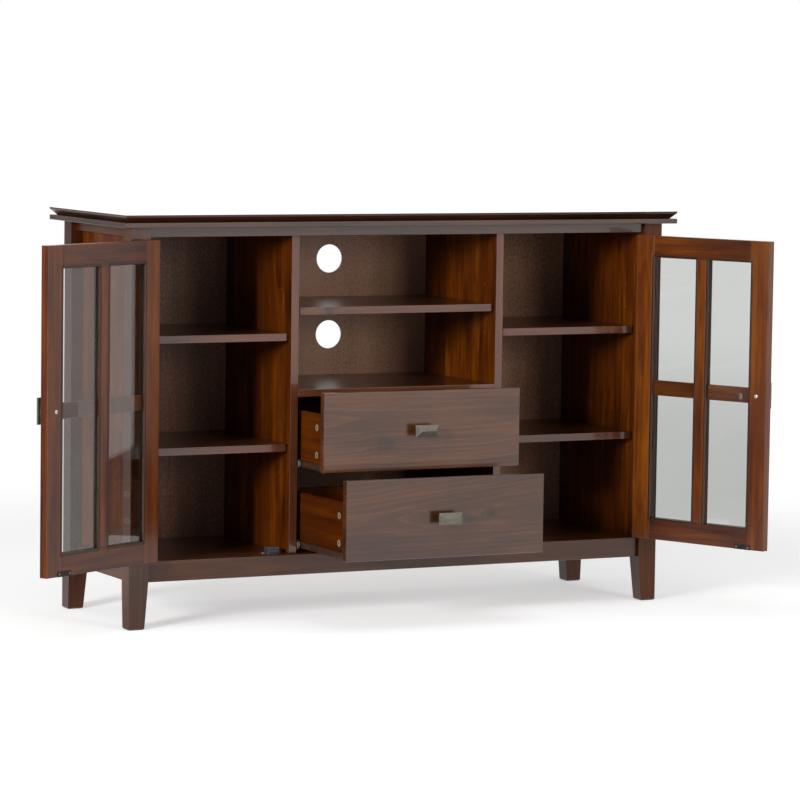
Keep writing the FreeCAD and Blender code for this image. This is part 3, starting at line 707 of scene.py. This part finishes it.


# a knot's place from the board's middle and its radius, the grain's run-out, and how much darker the boards
# on the left and on the right are, and those that lie level; on the back panels and grille bars this is
# painted light
boardMarks = {
    "lower_drawer_front": {"knot": (0.109, 0.0038, 0.0066), "knotDepth": 1.6, "runOut": 0.055},
    "upper_drawer_front": {"knot": (-0.092, -0.0280, 0.0170), "knotDepth": 0.50, "runOut": 0.010},
    # painted light and shade: the left back panel darker and the right and centre ones lighter, as light
    # reaches the bays
    "outer_back_panels": {"shades": (0.20, -0.18)},
    "centre_back_panel": {"shades": (-0.33, -0.33)},
    "left_door_hinge_stile": {"shades": (0.12, 0.12)},
    # the grille's level bars are made lighter than other level boards: painted light on the bars behind the
    # glass
    "left_door_grille": {"shades": (0.08, 0.08), "level": -0.10},
    "right_door_grille": {"level": 0.02},
}
plainBoard = {"knot": (-50.0, 0.0, 0.005), "knotDepth": 0.0, "runOut": 0.0, "shades": (0.0, 0.0)}
boardNumbers = {"node": 0.6180339, "board": 2.37, "most": 61.0, "apart": 1.7}  # a grain of its own for each
boreDepth = 0.0015  # faces this far inside a board's box are walls of a hole


def grainBoards(mesh, body, node, level):
    marks = {**plainBoard, "level": level, **boardMarks.get(node, {})}
    knotAlong, knotAcross, knotRadius = marks["knot"]
    seed = sum(map(ord, node))
    back = restPlace(body).inverted()
    points = [back @ v.co for v in mesh.vertices]
    island = linked([tuple(e.vertices) for e in mesh.edges], len(points))
    boards = [[] for _ in range(max(island) + 1)]
    for i, k in enumerate(island):
        boards[k].append(i)
    grain = [0.0] * (3 * len(points))
    knot = [0.0] * (3 * len(points))
    plank = [0.0] * len(points)
    shade = [0.0] * len(points)
    boxes = []
    for k, members in enumerate(boards):
        low = [min(points[i][a] for i in members) for a in range(3)]
        high = [max(points[i][a] for i in members) for a in range(3)]
        boxes.append((low, high))
        long, wide, thick = sorted(range(3), key=lambda a: low[a] - high[a])  # the grain runs along long
        number = (seed * boardNumbers["node"] + k * boardNumbers["board"]) % boardNumbers["most"]
        start = number * boardNumbers["apart"]
        for i in members:
            fromMiddle = points[i][long] - (low[long] + high[long]) / 2
            grain[3 * i] = fromMiddle + start
            grain[3 * i + 1] = (points[i][wide] - (low[wide] + high[wide]) / 2
                                - marks["runOut"] * (fromMiddle - knotAlong))
            grain[3 * i + 2] = points[i][thick] - low[thick]
            knot[3 * i:3 * i + 3] = knotAlong + start, knotAcross, knotRadius
            plank[i] = number
            shade[i] = marks["level"] * (long != 2) + marks["shades"][low[0] + high[0] > 0]
    storeFloats(mesh, "shade", shade)
    storeVectors(mesh, "grain", grain)
    storeVectors(mesh, "knot", knot)
    storeFloats(mesh, "plank", plank)
    storeFloats(mesh, "knotDepth", [marks["knotDepth"]] * len(points))
    bore = []
    for p in mesh.polygons:
        low, high = boxes[island[p.vertices[0]]]
        centre = back @ p.center
        inside = min(min(centre[a] - low[a], high[a] - centre[a]) for a in range(3))
        bore.append(float(inside > boreDepth))
    return bore


ownFinish = {  # nodes that don't get their slot's finish
    "left_side_shelves": "shelfWood", "right_side_shelves": "shelfWood", "centre_shelf": "shelfWood",
    "drawer_deck": "shelfWood", "cabinet_floor": "shelfWood", "front_top_rail": "russet_top",
    "left_front_post": "postWood", "right_front_post": "postWood", "left_rear_post": "postWood",
    "right_rear_post": "postWood", "left_side_rails": "postWood", "right_side_rails": "postWood",
    "left_door_beads": "beadWood", "right_door_beads": "beadWood",
    "top_slab": "topEdge", "under_board": "topEdge",
}
front, up = (0, -1, 0), (0, 0, 1)
faceFinish = {  # the faces turned this way, and what they get
    "left_side_shelves": (front, "lipWood"), "right_side_shelves": (front, "lipWood"),
    "centre_shelf": (front, "lipWood"), "drawer_deck": (front, "lipWood"),
    "left_divider": (front, "lipWood"), "right_divider": (front, "lipWood"),
    "left_front_post": (front, "postFront"), "under_board": (front, "russet_top"),
    "top_slab": (up, "russet_top"),
}
facingLeast = 0.6  # how far a face must be turned that way
rebates = {  # walls round the door glass, in from the door's sides and ends, painted nearly black as shade
    "finish": "rebateWood", "inset": (0.0045, 0.012), "facingMost": 0.3,
}
drilled = ("left_side_panel", "right_side_panel", "left_divider", "right_divider")  # boards with peg holes


def rebateFaces(mesh, body):
    shut = restPlace(body).inverted()
    stiles = [shutBox(body + end) for end in ("_hinge_stile", "_free_stile")]
    sides, ends = rebates["inset"]
    left, right = min(box[0].x for box in stiles) + sides, max(box[1].x for box in stiles) - sides
    low, high = stiles[0][0].z + ends, stiles[0][1].z - ends
    for p in mesh.polygons:
        place = shut @ p.center
        inside = left < place.x < right and low < place.z < high
        p.material_index = int(inside and abs((shut.to_3x3() @ p.normal).y) < rebates["facingMost"])


def dressNode(node):
    slot = slotOfNode[node]
    body = bodyOfNode[node]
    look = ownFinish.get(node, slot)
    mesh = solidsApart(nodes[node].data)
    mesh.materials.append(finishes[look])
    mesh.materials.append(finishes[look])
    done = brokenEdges(mesh, *edgeBreaks[slot])
    done.name = "dressed_" + node
    storeFloats(done, "edge", [float(p.material_index == 1) for p in done.polygons], "FACE")
    way, facing = faceFinish.get(node, ((0, 0, 0), None))
    for p in done.polygons:
        p.material_index = int(p.normal.dot(way) > facingLeast)
    # door frames: their rebate walls get the painted shade
    if slot == "door_wood" and "beads" not in node:
        facing = rebates["finish"]
        rebateFaces(done, body)
    if facing:
        done.materials[1] = finishes[facing]
    else:
        done.materials.pop(index=1)
    if slot in woodFinishes:
        bore = grainBoards(done, body, node, woodFinishes[look]["level"])
        if node in drilled:
            storeFloats(done, "bore", bore, "FACE")
    piece = bpy.data.objects.new("dressed_" + node, done)
    scene.collection.objects.link(piece)
    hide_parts(node)
    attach(piece, body)


for node in sorted(nodes):
    if slotOfNode[node] == "clear_glass":
        nodes[node].data.materials.clear()
        nodes[node].data.materials.append(finishes["clear_glass"])
    else:
        dressNode(node)
print("nodes dressed")


# screws, cams, pins and rivet heads: one tree, set out on points that carry a facing direction
headShape = {"sides": 20, "rim": 0.55, "slotDepth": 0.2, "slotRise": 0.95}  # all but sides in head heights


def named(tree, name, kind):
    return put(tree, "GeometryNodeInputNamedAttribute", {"Name": name}, data_type=kind).outputs[0]


def fastenerTree(shape):
    tree = bpy.data.node_groups.new("fastenerHeads", "GeometryNodeTree")
    panel = tree.interface
    panel.new_socket("Geometry", in_out="INPUT", socket_type="NodeSocketGeometry")
    for name in ("Head Radius", "Head Height", "Crown", "Slot Length", "Slot Width"):
        panel.new_socket(name, in_out="INPUT", socket_type="NodeSocketFloat")
    for name in ("Head Finish", "Slot Finish"):
        panel.new_socket(name, in_out="INPUT", socket_type="NodeSocketMaterial")
    panel.new_socket("Geometry", in_out="OUTPUT", socket_type="NodeSocketGeometry")
    given = put(tree, "NodeGroupInput").outputs
    radius, height = given["Head Radius"], given["Head Height"]
    rim = calc(tree, "MULTIPLY", height, shape["rim"])
    skirt = put(tree, "GeometryNodeMeshCone", {"Vertices": shape["sides"], "Radius Top": radius,
                                               "Radius Bottom": radius, "Depth": rim}, fill_type="NGON")
    cap = put(tree, "GeometryNodeMeshCone", {
        "Vertices": shape["sides"], "Radius Top": calc(tree, "MULTIPLY", radius, given["Crown"]),
        "Radius Bottom": radius, "Depth": calc(tree, "SUBTRACT", height, rim)}, fill_type="NGON")
    cap = put(tree, "GeometryNodeTransform", {"Geometry": cap.outputs["Mesh"],
                                              "Translation": combined(tree, z=rim)})

    # the slots are dark bars set into the crown: painted shade where a real slot is a recess
    bars = put(tree, "GeometryNodeJoinGeometry")
    length, width = given["Slot Length"], given["Slot Width"]
    deep = calc(tree, "MULTIPLY", height, shape["slotDepth"])
    for x, y in ((length, width), (width, length)):
        bar = put(tree, "GeometryNodeMeshCube", {"Size": combined(tree, x, y, deep)})
        tree.links.new(bar.outputs["Mesh"], bars.inputs[0])
    rise = combined(tree, z=calc(tree, "MULTIPLY", height, shape["slotRise"]))
    bars = put(tree, "GeometryNodeTransform", {"Geometry": bars.outputs[0], "Translation": rise})
    marked = put(tree, "GeometryNodeStoreNamedAttribute",
                 {"Geometry": bars.outputs[0], "Name": "slotFace", "Value": True},
                 data_type="BOOLEAN", domain="FACE")
    head = put(tree, "GeometryNodeJoinGeometry")
    for part in (skirt.outputs["Mesh"], cap.outputs[0], marked.outputs[0]):
        tree.links.new(part, head.inputs[0])

    aim = put(tree, "FunctionNodeAlignRotationToVector", {
        "Vector": named(tree, "facing", "FLOAT_VECTOR")}, axis="Z")
    roll = put(tree, "FunctionNodeAxisAngleToRotation", {
        "Axis": (0, 0, 1), "Angle": named(tree, "spin", "FLOAT")})
    turn = put(tree, "FunctionNodeRotateRotation", {
        "Rotation": aim.outputs[0], "Rotate By": roll.outputs[0]}, rotation_space="LOCAL")
    points = put(tree, "GeometryNodeMeshToPoints", {"Mesh": given["Geometry"]})
    heads = put(tree, "GeometryNodeInstanceOnPoints", {
        "Points": points.outputs[0], "Instance": head.outputs[0], "Rotation": turn.outputs[0]})
    real = put(tree, "GeometryNodeRealizeInstances", {"Geometry": heads.outputs[0]})
    metal = put(tree, "GeometryNodeSetMaterial", {
        "Geometry": real.outputs[0], "Material": given["Head Finish"]})
    dark = put(tree, "GeometryNodeSetMaterial", {
        "Geometry": metal.outputs[0], "Selection": named(tree, "slotFace", "BOOLEAN"),
        "Material": given["Slot Finish"]})
    put(tree, "NodeGroupOutput", {"Geometry": dark.outputs[0]})
    return tree


fasteners = fastenerTree(headShape)
slotTurns = (0.4, 1.13, 1.57)  # turn of the first slot, step to the next, and where it starts again, rad
plainHead = {"radius": 0.0027, "height": 0.0005, "crown": 0.75, "slot": 0.0032, "slotWidth": 0.0007}


def setOut(name, body, places, look, finish="screwSteel"):
    sizes = {**plainHead, **look}
    stand = restPlace(body)
    turn = stand.to_3x3()
    mesh = bpy.data.meshes.new(name)
    mesh.from_pydata([stand @ Vector(p) for p, _ in places], [], [])
    facing = [c for _, f in places for c in turn @ Vector(f)]
    storeVectors(mesh, "facing", facing)
    first, step, most = slotTurns
    storeFloats(mesh, "spin", [(first + step * i) % most for i in range(len(places))])
    rough = bpy.data.objects.new("rough", mesh)
    scene.collection.objects.link(rough)
    heads = rough.modifiers.new("heads", "NODES")
    heads.node_group = fasteners
    values = {"Head Radius": sizes["radius"], "Head Height": sizes["height"], "Crown": sizes["crown"],
              "Slot Length": sizes["slot"], "Slot Width": sizes["slotWidth"],
              "Head Finish": finishes[finish], "Slot Finish": finishes["slotShade"]}
    for socket in fasteners.interface.items_tree:
        if socket.in_out == "INPUT" and socket.name in values:
            heads[socket.identifier] = values[socket.name]
    done = baked(rough)
    bpy.data.objects.remove(rough)
    piece = bpy.data.objects.new(name, done)
    scene.collection.objects.link(piece)
    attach(piece, body)


def otherSide(places):
    return [((-p[0], p[1], p[2]), (-f[0], f[1], f[2])) for p, f in places]


def bothSides(places):
    return places + otherSide(places)


# places are worked out from the nodes' boxes, for the right side and with doors and drawers shut
hingeScrews = {
    "leaf": (0.050, 0.0009),    # height and thickness of a leaf, m
    "spots": ((-0.0165, 0.0055), (0.0, 0.0115), (0.0165, 0.0055)),  # up from its middle, in from its rear
    "radius": 0.0026, "height": 0.00003, "crown": 0.9,
}
strikeScrews = {"apart": 0.032}
catchScrews = {"apart": 0.036, "fromRear": 0.007, "ear": 0.002, "height": 0.0007, "crown": 0.7}
pullScrews = {"radius": 0.0042, "height": 0.0013, "crown": 0.66, "slot": 0.0034}
cams = {
    "fromFront": 0.037, "rises": (0.032, 0.0915),
    "radius": 0.0075, "height": 0.0004, "crown": 0.92, "slot": 0.0080, "slotWidth": 0.0016,
}
axleHeads = {
    "cabinet": -0.007, "drawer": 0.001,    # from the roller's outer face, m
    "radius": 0.0031, "crown": 0.7, "slot": 0.0009, "slotWidth": 0.0009,
}
runnerScrews = {
    "web": 0.001, "cabinetRows": (0.031, 0.149, 0.265), "overAxle": 0.0013,    # rows from the front end
    "fromWall": 0.005, "drawerRows": (0.024, 0.154, 0.268),
}
backPins = {
    "pitch": 0.088, "fromFloor": 0.005, "fromTop": 0.0185,    # columns
    "fromDivider": 0.0015, "fromPost": 0.0036,
    "topRow": 0.006, "deckRow": 0.0015,    # rows, below the top and the deck
    "centreAcross": (0.045, 0.130, 0.205), "sideAcross": (0.310, 0.390, 0.470, 0.550),
    "radius": 0.0017, "crown": 0.7, "slot": 0.0004, "slotWidth": 0.0004,
}
drawerLevels = ("lower", "upper")
postInner = shutBox("right_front_post")[0].x
dividerLow, dividerHigh, _ = shutBox("right_divider")
_, strikeHigh, strikeMiddle = shutBox("right_door_strike_plate")
catchLow, catchHigh, _ = shutBox("door_catches")


def spaced(middle, apart):
    return middle - apart / 2, middle + apart / 2


def hingePlaces(face, facing):
    low, high, _ = shutBox("post_hinge_leaves")
    half = hingeScrews["leaf"][0] / 2
    return [((face, high.y - inward, z + rise), facing)
            for z in (low.z + half, high.z - half) for rise, inward in hingeScrews["spots"]]


def pullPlace(pull, board):
    middle, rear = shutBox(pull)[2], shutBox(board)[1].y
    return [((middle.x, rear, middle.z), (0, 1, 0))]


def axlePlace(rollers, outward, facing):
    _, high, middle = shutBox(rollers)
    return [((high.x + outward, middle.y, middle.z), facing)]


def pinPlaces(look):
    _, panel, _ = shutBox("outer_back_panels")
    floorHigh, floorMiddle = shutBox("cabinet_floor")[1:]
    low, high = floorHigh.z + look["fromFloor"], panel.z - look["fromTop"]
    steps = round((high - low) / look["pitch"])
    columns = (dividerLow.x + look["fromDivider"], dividerHigh.x - look["fromDivider"],
               postInner - look["fromPost"])
    spots = [(x, low + (high - low) * i / steps) for x in columns for i in range(steps + 1)]
    spots += [(x, z) for z in (floorMiddle.z, panel.z - look["topRow"])
              for x in look["centreAcross"] + look["sideAcross"]]
    spots += [(x, shutBox("drawer_deck")[0].z - look["deckRow"]) for x in look["centreAcross"]]
    return [((x, panel.y, z), (0, 1, 0)) for x, z in spots]


leafThick = hingeScrews["leaf"][1]
setOut("postHingeScrews", "carcass", bothSides(hingePlaces(postInner - leafThick, (-1, 0, 0))),
       hingeScrews, "screwBrass")
ears = [((x, catchHigh.y - catchScrews["fromRear"], catchLow.z + catchScrews["ear"]), (0, 0, 1))
        for x in spaced(strikeMiddle.x, catchScrews["apart"])]
setOut("catchScrews", "carcass", bothSides(ears), catchScrews)
webs, stubs = [], []
for level in drawerLevels:
    stubs += axlePlace(level + "_cabinet_rollers", axleHeads["cabinet"], (-1, 0, 0))
    rise = stubs[-1][0][2] + runnerScrews["overAxle"]
    webs += [((dividerLow.x - runnerScrews["web"], shutBox("cabinet_runners")[0].y + row, rise), (-1, 0, 0))
             for row in runnerScrews["cabinetRows"]]
setOut("cabinetRunnerScrews", "carcass", bothSides(webs), runnerScrews)
setOut("cabinetAxleHeads", "carcass", bothSides(stubs), axleHeads)
setOut("backPanelPins", "carcass", bothSides(pinPlaces(backPins)), backPins)

for side in ("left", "right"):
    body = side + "_door"
    edge = hingePlaces(shutBox("right_door_hinge_stile")[1].x + leafThick, (1, 0, 0))
    plate = [((x, strikeHigh.y, strikeMiddle.z), (0, 1, 0))
             for x in spaced(strikeMiddle.x, strikeScrews["apart"])]
    bolt = pullPlace("right_door_pull", "right_door_free_stile")
    if side == "left":
        edge, plate, bolt = otherSide(edge), otherSide(plate), otherSide(bolt)
    setOut(side + "DoorHingeScrews", body, edge, hingeScrews, "screwBrass")
    setOut(side + "DoorStrikeScrews", body, plate, strikeScrews, "screwBrass")
    setOut(side + "DoorPullScrew", body, bolt, pullScrews)

for level in drawerLevels:
    body = level + "_drawer"
    wallsLow, wallsHigh, _ = shutBox(body + "_walls")
    runnersLow = shutBox(body + "_runners")[0]
    discs = [((wallsHigh.x, wallsLow.y + cams["fromFront"], wallsLow.z + rise), (1, 0, 0))
             for rise in cams["rises"]]
    setOut(level + "DrawerCams", body, bothSides(discs), cams, "camZinc")
    bolt = pullPlace(body + "_pull", body + "_front")
    setOut(level + "DrawerPullScrew", body, bolt, pullScrews)
    under = [((wallsHigh.x - runnerScrews["fromWall"], runnersLow.y + row, runnersLow.z), (0, 0, -1))
             for row in runnerScrews["drawerRows"]]
    setOut(level + "DrawerRunnerScrews", body, bothSides(under), runnerScrews)
    stub = axlePlace(body + "_rollers", axleHeads["drawer"], (1, 0, 0))
    setOut(level + "DrawerAxleHeads", body, bothSides(stub), axleHeads)
print("fasteners set out")


# steel pole plates in the face of each magnetic catch
polePlates = {"sunk": 0.0001, "rises": (0.0035, 0.0105),
              "size": (0.019, 0.0003, 0.0016), "edgeBreak": 0.00008}


def polePieces(look):
    bm = bmesh.new()
    for side in (1, -1):
        for rise in look["rises"]:
            made = bmesh.ops.create_cube(bm, size=1.0)["verts"]
            bmesh.ops.scale(bm, verts=made, vec=look["size"])
            place = (side * strikeMiddle.x, catchLow.y + look["sunk"], catchLow.z + rise)
            bmesh.ops.translate(bm, verts=made, vec=place)
    bmesh.ops.bevel(bm, geom=bm.edges[:], offset=look["edgeBreak"], segments=1, affect="EDGES")
    mesh = bpy.data.meshes.new("catchPoles")
    bm.to_mesh(mesh)
    bm.free()
    mesh.materials.append(finishes["strike_steel"])
    piece = bpy.data.objects.new("catchPoles", mesh)
    scene.collection.objects.link(piece)
    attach(piece, "carcass")


polePieces(polePlates)
print("catch poles made")
